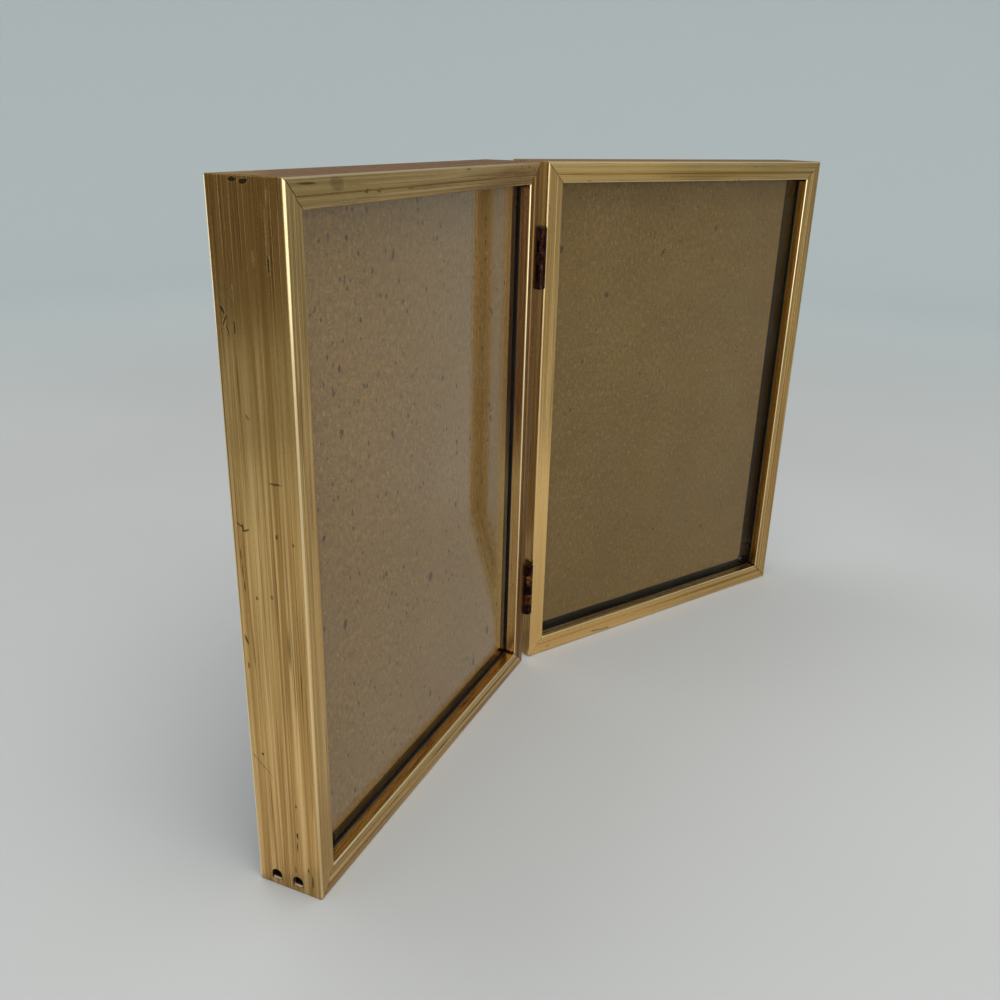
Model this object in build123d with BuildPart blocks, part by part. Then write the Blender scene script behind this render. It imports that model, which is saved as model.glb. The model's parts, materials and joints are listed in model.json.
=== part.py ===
from build123d import *
import os
from math import cos, radians, sin

# A free-standing double photo frame: two glazed frames of folded sheet metal, joined
# edge to edge by two small pin hinges so that they open and close like a book.
# Millimetres. The origin is on the surface that the frames stand on, under the middle
# of the opened pair; +Z is up, +X runs along the pair and the glass looks towards -Y.

# How far the pair is opened, between the two front faces
opening_angle = 148.9

# The glass that the frames are made for, and its room inside the sheet
glass_width = 152.4
glass_height = 203.2
glass_thickness = 1.8
glass_edge_gap = 0.9
glass_end_gap = 1.75

# The folded rails
sheet = 0.6
frame_depth = 23.1
face_width = 7.7
face_band_width = 4.3
face_step_drop = 0.4
face_groove_width = 0.45
face_groove_depth = 0.2
lip_depth = 5.2
lip_end_gap = 0.8
hem_width = 1.9
front_arris_radius = 0.9
inner_arris_radius = 0.7
rear_arris_radius = 1.0
mitre_gap = 0.12

# The L-shaped keys that join the rails behind each mitre
key_leg = 16.0
key_thickness = 1.0
key_width = 10.8
key_front_gap = 0.1
key_bend_radius = 0.5
key_end_radius = 1.5

# The two staked holes low in each outer wall, which lock the lower outer keys
stake_width = 3.7
stake_rise = 3.6
stake_height = 2.0
stake_edge_margin = 1.55
stake_tongue_width = 2.8
stake_tongue_rise = 0.6
stake_tongue_recess = 0.12
stake_window_rise = 2.7

# The boards behind the glass
board_gap = 0.12
chipboard_hinge_inset = 11.4
chipboard_outer_inset = 14.1
chipboard_top_inset = 8.0
chipboard_bottom_inset = 11.3
chipboard_thickness = 1.5
pad_edge_inset = 1.0
panel_thickness = 2.4
panel_edge_gap = 0.3
panel_corner_radius = 1.5

# The turn clips that hold the back panel in
clip_sheet = 0.5
clip_hem_gap = 0.15
clip_pivot_inset = 9.5
clip_end_inset = 50.0
clip_tip_gap = 0.4
clip_hub_radius = 3.4
clip_tip_radius = 1.9
clip_lug_width = 3.0
clip_lug_thickness = 0.5
clip_lug_rise = 0.55
clip_rivet_radius = 1.2
clip_rivet_gap = 0.06
clip_rivet_head_radius = 2.2
clip_rivet_head_rise = 0.55
clip_rivet_tail_radius = 2.0
clip_rivet_tail_rise = 0.5

# The hinges between the frames
hinge_wall_gap = 4.7
pin_forward = 0.3
hinge_length = 22.6
hinge_end_inset = 34.4
knuckle_count = 5
knuckle_gap = 0.15
barrel_radius = 2.05
pin_radius = 1.0
pin_gap = 0.05
pin_head_radius = 1.6
pin_head_rise = 0.6
leaf_thickness = 0.8
leaf_reach = 12.0
leaf_front_gap = 1.8
leaf_corner_radius = 1.5
hinge_rivet_depth = 8.0
hinge_rivet_spread = 13.0
hinge_rivet_radius = 0.9
hinge_rivet_gap = 0.04
hinge_rivet_head_radius = 1.7
hinge_rivet_head_rise = 0.5
hinge_rivet_tail_radius = 1.5
hinge_rivet_tail_rise = 0.5

# How much of a rivet head's rise is its upright rim, under the dome
rim_share = 0.35

# How far a cut runs past what it cuts
overrun = 2.0

# Sizes that follow
frame_width = glass_width + 2 * (glass_edge_gap + sheet)
frame_height = glass_height + 2 * (glass_end_gap + sheet)
half_gap = hinge_wall_gap / 2
key_front = lip_depth + glass_thickness + key_front_gap
chipboard_front = lip_depth + glass_thickness + board_gap
pad_front = chipboard_front + chipboard_thickness
clip_rear = frame_depth - sheet - clip_hem_gap
panel_rear = clip_rear - clip_sheet
panel_front = panel_rear - panel_thickness
panel_inset = hem_width + panel_edge_gap

up = Vector(0, 0, 1)
leaf_tilt = radians((180 - opening_angle) / 2)

# The pin axis stands where the pair's middle, front to back, falls on the origin
corner_rounding = cos(leaf_tilt) + sin(leaf_tilt) - 1
front_reach = (
    sin(leaf_tilt) * (half_gap + frame_width)
    - cos(leaf_tilt) * pin_forward
    - front_arris_radius * corner_rounding
)
rear_reach = (
    cos(leaf_tilt) * (pin_forward + frame_depth)
    - sin(leaf_tilt) * half_gap
    - rear_arris_radius * corner_rounding
)
pin_foot = Vector(0, (front_reach - rear_reach) / 2, 0)


class Side:
    """One frame's directions: along runs away from the hinge, depth runs to the back."""

    def __init__(self, name, hand):
        self.name = name
        self.along = Vector(hand * cos(leaf_tilt), -sin(leaf_tilt), 0)
        self.depth = Vector(hand * sin(leaf_tilt), cos(leaf_tilt), 0)

    def from_pin(self, along, depth, height):
        """A point measured from the foot of the pin axis."""
        return pin_foot + self.along * along + self.depth * depth + up * height

    def at(self, along, depth, height):
        """A point measured from the foot of the frame's front corner at the hinge."""
        return self.from_pin(half_gap + along, pin_forward + depth, height)

    def flat(self, along, depth, height):
        """The upright plane through a point, parallel to the glass."""
        across = up.cross(self.depth)
        return Plane(self.at(along, depth, height), x_dir=across, z_dir=across.cross(up))

    def wall(self, along, depth, height):
        """The upright plane through a point, parallel to the frame's side walls."""
        return Plane(self.at(along, depth, height), x_dir=self.depth, z_dir=self.depth.cross(up))


def save(piece, name):
    """Names a finished piece and writes it."""
    piece.part.label = name
    export_step(piece.part, f"parts/{name}.step")


def add_headed_pin(foot, way, radius, grip, tail, head):
    """Adds a round shank from foot along way, with a domed (radius, rise) end at both its ends."""
    tail_radius, tail_rise = tail
    head_radius, head_rise = head
    across = Plane(foot, z_dir=way).x_dir
    top = grip + head_rise
    with BuildSketch(Plane(foot, x_dir=across, z_dir=across.cross(way))) as half_section:
        with BuildLine():
            TangentArc((0, -tail_rise), (tail_radius, -tail_rise * rim_share), tangent=(1, 0))
            Polyline(
                (tail_radius, -tail_rise * rim_share),
                (tail_radius, 0),
                (radius, 0),
                (radius, grip),
                (head_radius, grip),
                (head_radius, grip + head_rise * rim_share),
            )
            TangentArc((0, top), (head_radius, grip + head_rise * rim_share), tangent=(1, 0))
            Line((0, top), (0, -tail_rise))
        make_face()
    revolve(half_section.sketch, axis=Axis(foot, way))


# Rails

def rail_outline():
    """The bent sheet's section as (inward, depth, corner radius), from the lip's outer edge."""
    band_end = face_band_width
    groove_floor = face_step_drop + face_groove_depth
    return [
        (face_width, lip_depth, 0),
        (face_width, face_step_drop, inner_arris_radius),
        (band_end + face_groove_width, face_step_drop, 0),
        (band_end + face_groove_width / 2, groove_floor, 0),
        (band_end, 0, 0),
        (0, 0, front_arris_radius),
        (0, frame_depth, rear_arris_radius),
        (hem_width, frame_depth, 0),
        (hem_width, frame_depth - sheet, 0),
        (sheet, frame_depth - sheet, rear_arris_radius - sheet),
        (sheet, sheet, front_arris_radius - sheet),
        (band_end - sheet, sheet, 0),
        (band_end, face_step_drop + sheet, 0),
        (face_width - sheet, face_step_drop + sheet, inner_arris_radius - sheet),
        (face_width - sheet, lip_depth, 0),
    ]


def cut_lip_end(side, corner, inward, run):
    """Cuts an upright rail's lip a little short of the lip that crosses its end."""
    reach = inner_arris_radius + overrun
    lip_front = face_step_drop + inner_arris_radius
    start = corner + inward * (face_width - inner_arris_radius) - run * face_width
    with BuildSketch(Plane(start + side.depth * lip_front, x_dir=inward, z_dir=side.depth)) as notch:
        with Locations((reach / 2, 0)):
            Rectangle(reach, 2 * lip_end_gap)
    extrude(notch.sketch, amount=lip_depth, mode=Mode.SUBTRACT)


def rail(side, name, middle, inward, run, half_length, pierce=None):
    """A rail whose outer front edge passes through middle, cut at both mitres."""
    outline = rail_outline()
    section = Plane(middle, x_dir=inward, z_dir=inward.cross(side.depth))
    with BuildPart() as bar:
        with BuildSketch(section):
            with BuildLine():
                FilletPolyline(
                    [(inset, depth) for inset, depth, radius in outline],
                    radius=[radius for inset, depth, radius in outline],
                    close=True,
                )
            make_face()
        extrude(amount=half_length, both=True)
        for way in (run, -run):
            normal = (way + inward).normalized()
            corner = middle + way * half_length
            split(bisect_by=Plane(corner - normal * (mitre_gap / 2), z_dir=normal), keep=Keep.BOTTOM)
            if pierce:
                cut_lip_end(side, corner, inward, way)
        if pierce:
            pierce(side)
    save(bar, f"{side.name}_{name}_rail")


def stake_depths():
    """How far behind the face the two stakes of a lower outer key lie."""
    return (key_front + stake_edge_margin, key_front + key_width - stake_edge_margin)


def cut_stake_hole(side, depth, width, low, rise):
    """Cuts a round-topped hole through the outer wall or its key."""
    shoulder = rise - width / 2
    with BuildSketch(side.wall(frame_width, depth, low)) as hole:
        with BuildLine():
            sides = Polyline(
                (-width / 2, shoulder), (-width / 2, 0), (width / 2, 0), (width / 2, shoulder)
            )
            ThreePointArc(sides @ 1, (0, rise), sides @ 0)
        make_face()
    extrude(hole.sketch, amount=overrun, both=True, mode=Mode.SUBTRACT)


def cut_rivet_hole(side, height):
    """Cuts a rivet's hole through the hinge wall and the leaf on it."""
    with BuildSketch(side.wall(0, hinge_rivet_depth - pin_forward, height)) as hole:
        Circle(hinge_rivet_radius + hinge_rivet_gap)
    extrude(hole.sketch, amount=overrun, both=True, mode=Mode.SUBTRACT)


def pierce_outer_wall(side):
    for depth in stake_depths():
        cut_stake_hole(side, depth, stake_width, stake_height, stake_rise)


def pierce_hinge_wall(side):
    for height in hinge_rivet_heights():
        cut_rivet_hole(side, height)


def build_rails(side):
    half_height = frame_height / 2
    half_width = frame_width / 2
    rail(side, "top", side.at(half_width, 0, frame_height), -up, side.along, half_width)
    rail(side, "bottom", side.at(half_width, 0, 0), up, side.along, half_width)
    outer_middle = side.at(frame_width, 0, half_height)
    rail(side, "outer", outer_middle, -side.along, up, half_height, pierce_outer_wall)
    hinge_middle = side.at(0, 0, half_height)
    rail(side, "hinge", hinge_middle, side.along, up, half_height, pierce_hinge_wall)


# Corner keys

def build_key(side, name, along, inward, height, rise, staked):
    """An L of flat bar against the inside of two outer walls."""
    middle = key_front + key_width / 2
    corner = side.at(along, middle, height)
    inner = sheet + key_thickness
    reach = sheet + key_leg
    outline = [
        (sheet, sheet),
        (reach, sheet),
        (reach, inner),
        (inner, inner),
        (inner, reach),
        (sheet, reach),
    ]
    with BuildPart() as key:
        with BuildSketch(Plane(corner, x_dir=inward, z_dir=inward.cross(rise))):
            with BuildLine():
                FilletPolyline(
                    outline,
                    radius=[key_bend_radius + key_thickness, 0, 0, key_bend_radius, 0, 0],
                    close=True,
                )
            make_face()
        extrude(amount=key_width / 2, both=True)
        ends = key.edges().filter_by(lambda edge: abs(edge.length - key_thickness) < key_thickness / 10)
        fillet(ends, radius=key_end_radius)
        if staked:
            for depth in stake_depths():
                window = stake_height + stake_tongue_rise
                cut_stake_hole(side, depth, stake_tongue_width, window, stake_window_rise)
                root = side.at(frame_width - inner, depth, stake_height + stake_tongue_rise / 2)
                with BuildSketch(Plane(root, x_dir=side.depth, z_dir=side.along)):
                    Rectangle(stake_tongue_width, stake_tongue_rise)
                extrude(amount=inner - stake_tongue_recess)
    save(key, f"{side.name}_key_{name}")


def build_keys(side):
    for end, height, rise in (("top", frame_height, -up), ("bottom", 0, up)):
        staked = end == "bottom"
        build_key(side, f"{end}_outer", frame_width, -side.along, height, rise, staked)
        build_key(side, f"{end}_hinge", 0, side.along, height, rise, False)


# Glass and boards

def build_sheet(side, name, insets, front, thickness):
    """A flat sheet behind front, inset from the hinge wall, the outer wall, the top and the bottom."""
    hinge_inset, outer_inset, top_inset, bottom_inset = insets
    width = frame_width - hinge_inset - outer_inset
    height = frame_height - top_inset - bottom_inset
    with BuildPart() as flat_sheet:
        with BuildSketch(
            side.flat(hinge_inset + width / 2, front + thickness / 2, bottom_inset + height / 2)
        ):
            Rectangle(width, height)
        extrude(amount=thickness / 2, both=True)
    save(flat_sheet, f"{side.name}_{name}")


def build_panel(side):
    """The covered board that closes the back, with a hole for each clip's rivet."""
    with BuildPart() as panel:
        with BuildSketch(side.flat(frame_width / 2, panel_front + panel_thickness / 2, frame_height / 2)):
            RectangleRounded(
                frame_width - 2 * panel_inset, frame_height - 2 * panel_inset, panel_corner_radius
            )
        extrude(amount=panel_thickness / 2, both=True)
        for along, height, tip in clip_places(side):
            with BuildSketch(side.flat(along, panel_rear, height)):
                Circle(clip_rivet_radius + clip_rivet_gap)
            extrude(amount=panel_thickness + overrun, both=True, mode=Mode.SUBTRACT)
    save(panel, f"{side.name}_back_panel")


def build_stack(side):
    side_inset = sheet + glass_edge_gap
    end_inset = sheet + glass_end_gap
    build_sheet(
        side, "glass", (side_inset, side_inset, end_inset, end_inset), lip_depth, glass_thickness
    )
    board_insets = (
        chipboard_hinge_inset,
        chipboard_outer_inset,
        chipboard_top_inset,
        chipboard_bottom_inset,
    )
    build_sheet(side, "chipboard", board_insets, chipboard_front, chipboard_thickness)
    pad_insets = [inset + pad_edge_inset for inset in board_insets]
    build_sheet(side, "spacer_pad", pad_insets, pad_front, panel_front - pad_front)
    build_panel(side)


# Turn clips

def clip_places(side):
    """Where the clips pivot, as (along, height, direction of the tip)."""
    return [
        (along, height, tip)
        for height in (frame_height - clip_end_inset, clip_end_inset)
        for along, tip in (
            (frame_width - clip_pivot_inset, side.along),
            (clip_pivot_inset, -side.along),
        )
    ]


def build_clip(side, name, along, height, tip):
    """A flat spring clip whose tip is tucked under the hem, with a finger lug at its tail."""
    reach = clip_pivot_inset - sheet - clip_tip_gap
    middle = clip_rear - clip_sheet / 2
    across = Plane(side.at(along, middle, height), x_dir=tip, z_dir=tip.cross(up))
    with BuildPart() as clip:
        with BuildSketch(across):
            Circle(clip_hub_radius)
            with Locations((reach - clip_tip_radius, 0)):
                Circle(clip_tip_radius)
            make_hull()
            Circle(clip_rivet_radius + clip_rivet_gap, mode=Mode.SUBTRACT)
        extrude(amount=clip_sheet / 2, both=True)
        with BuildSketch(Plane(across.origin, x_dir=tip, z_dir=side.depth)):
            with Locations((-(clip_rivet_head_radius + clip_hub_radius) / 2, 0)):
                Rectangle(clip_lug_thickness, clip_lug_width)
        extrude(amount=clip_sheet / 2 + clip_lug_rise)
    save(clip, f"{side.name}_clip_{name}")


def build_clip_rivets(side):
    """One rivet through the panel for each clip."""
    tail = (clip_rivet_tail_radius, clip_rivet_tail_rise)
    head = (clip_rivet_head_radius, clip_rivet_head_rise)
    with BuildPart() as rivets:
        for along, height, tip in clip_places(side):
            foot = side.at(along, panel_front, height)
            add_headed_pin(foot, side.depth, clip_rivet_radius, clip_rear - panel_front, tail, head)
    save(rivets, f"{side.name}_clip_rivets")


def build_clips(side):
    names = ("upper_outer", "upper_hinge", "lower_outer", "lower_hinge")
    for name, (along, height, tip) in zip(names, clip_places(side)):
        build_clip(side, name, along, height, tip)
    build_clip_rivets(side)


# Hinges

def hinge_feet():
    """The height of each hinge's lower end."""
    return {
        "upper": frame_height - hinge_end_inset - hinge_length / 2,
        "lower": hinge_end_inset - hinge_length / 2,
    }


def hinge_rivet_heights():
    return [
        foot + hinge_length / 2 + shift
        for foot in hinge_feet().values()
        for shift in (-hinge_rivet_spread / 2, hinge_rivet_spread / 2)
    ]


def build_leaf(side, name, foot, first):
    """A hinge leaf: a plate on the hinge wall and every other knuckle of the barrel."""
    inner = half_gap - leaf_thickness
    pitch = hinge_length / knuckle_count
    plate_middle = (leaf_front_gap + leaf_reach) / 2 - pin_forward
    with BuildPart() as leaf:
        with BuildSketch(side.wall(-leaf_thickness / 2, plate_middle, foot + hinge_length / 2)):
            plate = Rectangle(leaf_reach - leaf_front_gap, hinge_length)
            rear = plate.vertices().group_by(Axis.X)[-1]
            fillet(rear, radius=leaf_corner_radius)
        extrude(amount=leaf_thickness / 2, both=True)
        for index in range(first, knuckle_count, 2):
            low = foot + index * pitch + knuckle_gap / 2
            level = Plane(side.from_pin(0, 0, low), x_dir=side.depth, z_dir=up)
            hand = side.along.dot(level.y_dir)
            with BuildSketch(level):
                Circle(barrel_radius)
                with BuildLine():
                    Polyline(
                        (0, hand * barrel_radius),
                        (leaf_front_gap / 2, hand * half_gap),
                        (leaf_front_gap + leaf_thickness, hand * half_gap),
                        (leaf_front_gap + leaf_thickness, hand * inner),
                        (0, hand * (pin_radius + pin_gap)),
                        close=True,
                    )
                make_face()
            extrude(amount=pitch - knuckle_gap)
        with BuildSketch(Plane(side.from_pin(0, 0, foot), z_dir=up)):
            Circle(pin_radius + pin_gap)
        extrude(amount=hinge_length, mode=Mode.SUBTRACT)
        for height in hinge_rivet_heights():
            if foot < height < foot + hinge_length:
                cut_rivet_hole(side, height)
    save(leaf, f"{name}_hinge_{side.name}_leaf")


def build_pin(name, foot):
    """A hinge pin, headed over at both ends of the barrel."""
    start = pin_foot + up * (foot + knuckle_gap / 2)
    head = (pin_head_radius, pin_head_rise)
    with BuildPart() as pin:
        add_headed_pin(start, up, pin_radius, hinge_length - knuckle_gap, head, head)
    save(pin, f"{name}_hinge_pin")


def build_hinge_rivets(side):
    """The rivets that hold this side's two hinge leaves to the hinge wall."""
    tail = (hinge_rivet_tail_radius, hinge_rivet_tail_rise)
    head = (hinge_rivet_head_radius, hinge_rivet_head_rise)
    with BuildPart() as rivets:
        for height in hinge_rivet_heights():
            foot = side.at(sheet, hinge_rivet_depth - pin_forward, height)
            add_headed_pin(foot, -side.along, hinge_rivet_radius, sheet + leaf_thickness, tail, head)
    save(rivets, f"{side.name}_hinge_rivets")


def build_hinges(left, right):
    for name, foot in hinge_feet().items():
        build_leaf(left, name, foot, 0)
        build_leaf(right, name, foot, 1)
        build_pin(name, foot)
    build_hinge_rivets(left)
    build_hinge_rivets(right)


os.makedirs("parts", exist_ok=True)
left = Side("left", -1)
right = Side("right", 1)
for side in (left, right):
    build_rails(side)
    build_keys(side)
    build_stack(side)
    build_clips(side)
build_hinges(left, right)
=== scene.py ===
"""The finish of the hinged double photo frame.

The frame's nodes get their gilt, glass, boards and tarnished metal, and the scene gets its floor,
the cards that the metal reflects, the lamps and the camera.
"""

import json
import math

import bpy
from mathutils import Matrix, Vector


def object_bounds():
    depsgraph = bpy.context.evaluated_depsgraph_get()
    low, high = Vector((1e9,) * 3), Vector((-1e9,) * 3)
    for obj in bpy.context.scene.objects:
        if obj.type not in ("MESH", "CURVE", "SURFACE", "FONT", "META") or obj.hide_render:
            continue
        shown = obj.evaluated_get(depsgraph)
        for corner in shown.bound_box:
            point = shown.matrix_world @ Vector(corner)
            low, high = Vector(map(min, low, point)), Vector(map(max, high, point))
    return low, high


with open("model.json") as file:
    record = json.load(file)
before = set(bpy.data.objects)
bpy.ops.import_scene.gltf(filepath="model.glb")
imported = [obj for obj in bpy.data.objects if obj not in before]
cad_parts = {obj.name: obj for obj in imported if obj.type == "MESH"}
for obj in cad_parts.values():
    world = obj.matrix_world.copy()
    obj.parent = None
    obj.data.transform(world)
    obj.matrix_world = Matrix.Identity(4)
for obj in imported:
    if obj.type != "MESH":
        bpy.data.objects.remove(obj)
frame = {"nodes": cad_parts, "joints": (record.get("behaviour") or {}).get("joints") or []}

cad_low, cad_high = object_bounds()
nodes = frame["nodes"]
joints = {joint["name"]: joint for joint in frame["joints"]}

MILLIMETRES = 1000.0  # in a metre
SIDES = ("left", "right")
RAILS = ("top", "bottom", "outer", "hinge")
UPWARD = (0.0, 0.0, 1.0)


def tone(red, green, blue):
    """A colour given in the 0 to 255 of a display, as the linear colour that shaders take."""
    def linear(value):
        share = value / 255
        return share / 12.92 if share <= 0.04045 else ((share + 0.055) / 1.055) ** 2.4
    return (linear(red), linear(green), linear(blue), 1.0)


# The directions of each frame


class Leaf:
    """One of the two frames, measured in mm.

    u runs from the hinge wall outwards, d from the face backwards, and z up.
    """

    def __init__(self, side):
        self.side = side
        self.hand = -1 if side == "left" else 1
        self.depth = Vector(joints[f"{side}_clip_upper_outer_turn"]["axis"])
        self.along = Vector((self.hand * self.depth.y, -self.hand * self.depth.x, 0))
        self.origin = Vector((0, 0, 0))
        hinge_low = self.span("hinge_rail")[0]
        sideways = self.along * (hinge_low.x / MILLIMETRES)
        self.origin = sideways + self.depth * (hinge_low.y / MILLIMETRES)
        self.width = self.span("outer_rail")[1].x
        self.height = self.span("top_rail")[1].z
        self.back = self.span("hinge_rail")[1].y
        self.face = self.span("hinge_rail")[1].x
        self.lip = self.span("glass")[0].y

    def span(self, part):
        """The lowest and highest u, d and z of one of this frame's nodes, in mm."""
        vertices = nodes[f"{self.side}_{part}"].data.vertices
        places = [vertex.co - self.origin for vertex in vertices]
        rows = [(p.dot(self.along), p.dot(self.depth), p.z) for p in places]
        low = Vector([min(column) for column in zip(*rows)]) * MILLIMETRES
        high = Vector([max(column) for column in zip(*rows)]) * MILLIMETRES
        return low, high


leaves = {side: Leaf(side) for side in SIDES}


# Node trees

ROUNDING = 0.0003  # the radius with which a sharp corner of metal catches the light, in metres
ROUNDING_SAMPLES = 6

# Where a mark's edge starts and ends, in its own half sizes from its middle
MARK_FULL = 0.85
MARK_GONE = 1.6

# The axes that pick a random number out of a random colour
RED = (1.0, 0.0, 0.0)
GREEN = (0.0, 1.0, 0.0)


class Shader:
    """A material and its nodes. Its methods take numbers, colours or sockets alike."""

    def __init__(self, name):
        self.material = bpy.data.materials.new(name)
        self.material.use_nodes = True
        self.tree = self.material.node_tree
        self.surface = self.tree.nodes["Principled BSDF"]
        self.output = self.tree.nodes["Material Output"]

    def add(self, kind, **settings):
        node = self.tree.nodes.new("ShaderNode" + kind)
        for name, value in settings.items():
            setattr(node, name, value)
        return node

    def feed(self, socket, value):
        if isinstance(value, bpy.types.NodeSocket):
            self.tree.links.new(value, socket)
        else:
            socket.default_value = value

    def math(self, operation, *values):
        node = self.add("Math", operation=operation)
        for socket, value in zip(node.inputs, values):
            self.feed(socket, value)
        return node.outputs[0]

    def chain(self, operation, values):
        """One operation on the first two values, then on that and the next one, and so on."""
        result = values[0]
        for value in values[1:]:
            result = self.math(operation, result, value)
        return result

    def plus(self, *values):
        return self.chain("ADD", values)

    def times(self, *values):
        return self.chain("MULTIPLY", values)

    def most(self, *values):
        return self.chain("MAXIMUM", values)

    def least(self, *values):
        return self.chain("MINIMUM", values)

    def minus(self, first, second):
        return self.math("SUBTRACT", first, second)

    def over(self, first, second):
        return self.math("DIVIDE", first, second)

    def magnitude(self, value):
        return self.math("ABSOLUTE", value)

    def centred(self, field):
        """A noise of about 0.5, moved to lie about 0."""
        return self.minus(field, 0.5)

    def vector(self, operation, *values):
        node = self.add("VectorMath", operation=operation)
        for socket, value in zip(node.inputs, values):
            self.feed(socket, value)
        return node.outputs["Value" if operation in ("DOT_PRODUCT", "LENGTH") else "Vector"]

    def scaled(self, vector, factor):
        node = self.add("VectorMath", operation="SCALE")
        self.feed(node.inputs["Vector"], vector)
        self.feed(node.inputs["Scale"], factor)
        return node.outputs["Vector"]

    def join(self, x, y, z=0.0):
        node = self.add("CombineXYZ")
        for socket, value in zip(node.inputs, (x, y, z)):
            self.feed(socket, value)
        return node.outputs[0]

    def object_place(self):
        return self.add("TexCoord").outputs["Object"]

    def leaf_place(self, leaf):
        """u, d and z of the leaf, in mm."""
        place = self.vector("SUBTRACT", self.object_place(), tuple(leaf.origin))
        place = self.scaled(place, MILLIMETRES)
        u = self.vector("DOT_PRODUCT", place, tuple(leaf.along))
        d = self.vector("DOT_PRODUCT", place, tuple(leaf.depth))
        z = self.vector("DOT_PRODUCT", place, UPWARD)
        return u, d, z

    def noise(self, place, detail=2.0, roughness=0.5, scale=1.0):
        node = self.add("TexNoise")
        self.feed(node.inputs["Vector"], place)
        self.feed(node.inputs["Scale"], scale)
        self.feed(node.inputs["Detail"], detail)
        self.feed(node.inputs["Roughness"], roughness)
        return node.outputs["Fac"]

    def cells(self, place):
        """The distance to the nearest of scattered points, one a unit, and its random colour."""
        node = self.add("TexVoronoi", feature="F1")
        self.feed(node.inputs["Vector"], place)
        self.feed(node.inputs["Scale"], 1.0)
        return node.outputs["Distance"], node.outputs["Color"]

    def ramp(self, value, low, high, start=0.0, end=1.0):
        """start at low, end at high, and a smooth way between. high may be the lower one."""
        node = self.add("MapRange", interpolation_type="SMOOTHSTEP")
        given = {
            "Value": value, "From Min": low, "From Max": high, "To Min": start, "To Max": end,
        }
        for name, setting in given.items():
            self.feed(node.inputs[name], setting)
        return node.outputs["Result"]

    def before(self, edge, place, zone):
        """A ramp along a place, whose zone is given in mm before an edge."""
        start, full = zone
        return self.ramp(place, edge - start, edge - full)

    def mix(self, share, first, second):
        node = self.add("Mix", data_type="RGBA")
        self.feed(node.inputs[0], share)
        self.feed(node.inputs[6], first)
        self.feed(node.inputs[7], second)
        return node.outputs[2]

    def lay(self, colour, tint, amount, share):
        """The colour with a tint laid over it, by a share of the amount."""
        return self.mix(self.times(amount, share), colour, tint)

    def spots(self, reach, distance, softness):
        """Spots as far as reach round scattered points, with a soft edge."""
        return self.ramp(self.minus(reach, distance), 0.0, softness)

    def marks(self, place, marks):
        """How dark place is under flat oval marks with soft edges, from 0 to their strengths."""
        darkest = 0.0
        for x, y, half_length, half_width, turn, strength in marks:
            node = self.add("Mapping", vector_type="TEXTURE")
            self.feed(node.inputs["Vector"], place)
            node.inputs["Location"].default_value = (x, y, 0)
            node.inputs["Rotation"].default_value = (0, 0, math.radians(turn))
            node.inputs["Scale"].default_value = (half_length, half_width, 1)
            reach = self.vector("LENGTH", node.outputs[0])
            mark = self.ramp(reach, MARK_FULL, MARK_GONE, strength, 0.0)
            darkest = self.most(darkest, mark)
        return darkest

    def rounded(self):
        """The normal of a sharp corner as if it were slightly round."""
        node = self.add("Bevel", samples=ROUNDING_SAMPLES)
        node.inputs["Radius"].default_value = ROUNDING
        return node.outputs["Normal"]

    def bump(self, height, distance, normal=None):
        node = self.add("Bump")
        self.feed(node.inputs["Height"], height)
        self.feed(node.inputs["Distance"], distance)
        if normal is not None:
            self.feed(node.inputs["Normal"], normal)
        return node.outputs["Normal"]

    def set(self, **values):
        """Sets inputs of the main shader, with _ for a space in their names."""
        for name, value in values.items():
            self.feed(self.surface.inputs[name.replace("_", " ")], value)


# The gilt sheet of the rails

GOLD = tone(214, 178, 114)
GOLD_PALE = tone(238, 208, 150)
GOLD_DEEP = tone(168, 128, 70)
# The dark stain tone also serves as painted shade on the left hinge face
GOLD_STAIN_AND_SHADE = tone(118, 80, 38)
# The two tones below serve only the faces' painted light and shade
WARM_FACE_LIGHT = tone(250, 206, 134)
OLIVE_FACE_SHADE = tone(153, 124, 80)
# Pale edge tone: partly bare brass from wear, partly a painted highlight
BARE_BRASS_AND_HIGHLIGHT = tone(255, 238, 194)
PIT = tone(34, 22, 13)
# Black for painted shade: inside the frame and in the panes' lower outer corners
PAINTED_SHADE_BLACK = tone(16, 12, 8)
LIP = tone(222, 168, 86)
LIP_STAIN = tone(150, 84, 42)
LIP_PALE = tone(250, 212, 146)
LIP_RED = tone(96, 44, 22)
LIP_ORANGE = tone(255, 186, 78)

GILT_DULL = 0.29  # roughness of the deep streaks
GILT_BRIGHT = 0.21  # roughness of the bright ones
GILT_ANISOTROPY = 0.6
GILT_RELIEF = 0.00004  # metres

# Where the zones of a rail start and are full, in mm
ON_LIP_ACROSS = (0.5, 0.15)  # before the face's inner edge
ON_LIP_DEPTH = (0.9, 1.4)  # back from the face
ON_FACE_DEPTH = (1.1, 0.6)
# The next four zones place painted shade: black on the lip's end and inside the wall
LIP_END_SHADE = (0.95, 0.7)  # before the glass
WALL_INSIDE = (0.3, 0.4)  # in from the wall's outer side
INSIDE_FRONT = (0.4, 0.0)  # before the glass
INSIDE_REAR = (0.5, 0.55)  # before the rear edge
FRONT_ARRIS = (0.65, 0.35)  # round the section from the front corner
INNER_ARRIS = (0.45, 0.2)  # off the rounded edge of the opening
INNER_ARRIS_ACROSS = (0.8, 0.6)  # before the face's inner edge
INNER_ARRIS_DEPTH = 0.4  # of its middle
REAR_ARRIS_ACROSS = (1.0, 0.6)
REAR_ARRIS_DEPTH = (1.0, 0.6)  # before the rear edge
MITRE_DIRT = (0.16, 0.4)  # from the mitre, where the dirt is full and where it ends

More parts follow.
